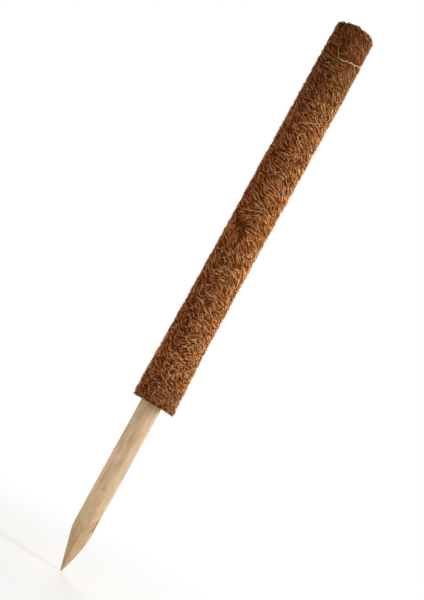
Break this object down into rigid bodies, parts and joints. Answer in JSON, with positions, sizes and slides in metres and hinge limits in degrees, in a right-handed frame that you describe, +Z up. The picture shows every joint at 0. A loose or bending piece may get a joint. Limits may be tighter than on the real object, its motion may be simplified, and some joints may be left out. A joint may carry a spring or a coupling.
{
  "type": "moss pole",
  "caption": "Round pole of rolled coir fibre mat on a pointed wooden stake, closed by a folded coir flap; climbing plants grip it while the stake stands in the soil of a pot.",
  "frame": {"origin": "on the pole's axis at the soil line, the lower end of the coir mat", "axes": "+Z up along the pole towards the closed end, -Y to the front where the folded flap shows, +Y to the lap of the mat"},
  "size_m": [0.043, 0.043, 0.6],
  "materials": {
    "stake_wood": "bare planed softwood",
    "coir": "needled coir fibre felt, rough and matt",
    "staple_wire": "bright galvanised wire"
  },
  "bodies": {
    "root": {"wooden_stake": "stake_wood", "coir_mat": "coir", "coir_end_flap": "coir", "seam_staple_1": "staple_wire", "seam_staple_2": "staple_wire", "seam_staple_3": "staple_wire", "seam_staple_4": "staple_wire", "seam_staple_5": "staple_wire", "start_staple_1": "staple_wire", "start_staple_2": "staple_wire", "start_staple_3": "staple_wire", "flap_staple_1": "staple_wire", "flap_staple_2": "staple_wire"}
  },
  "joints": []
}
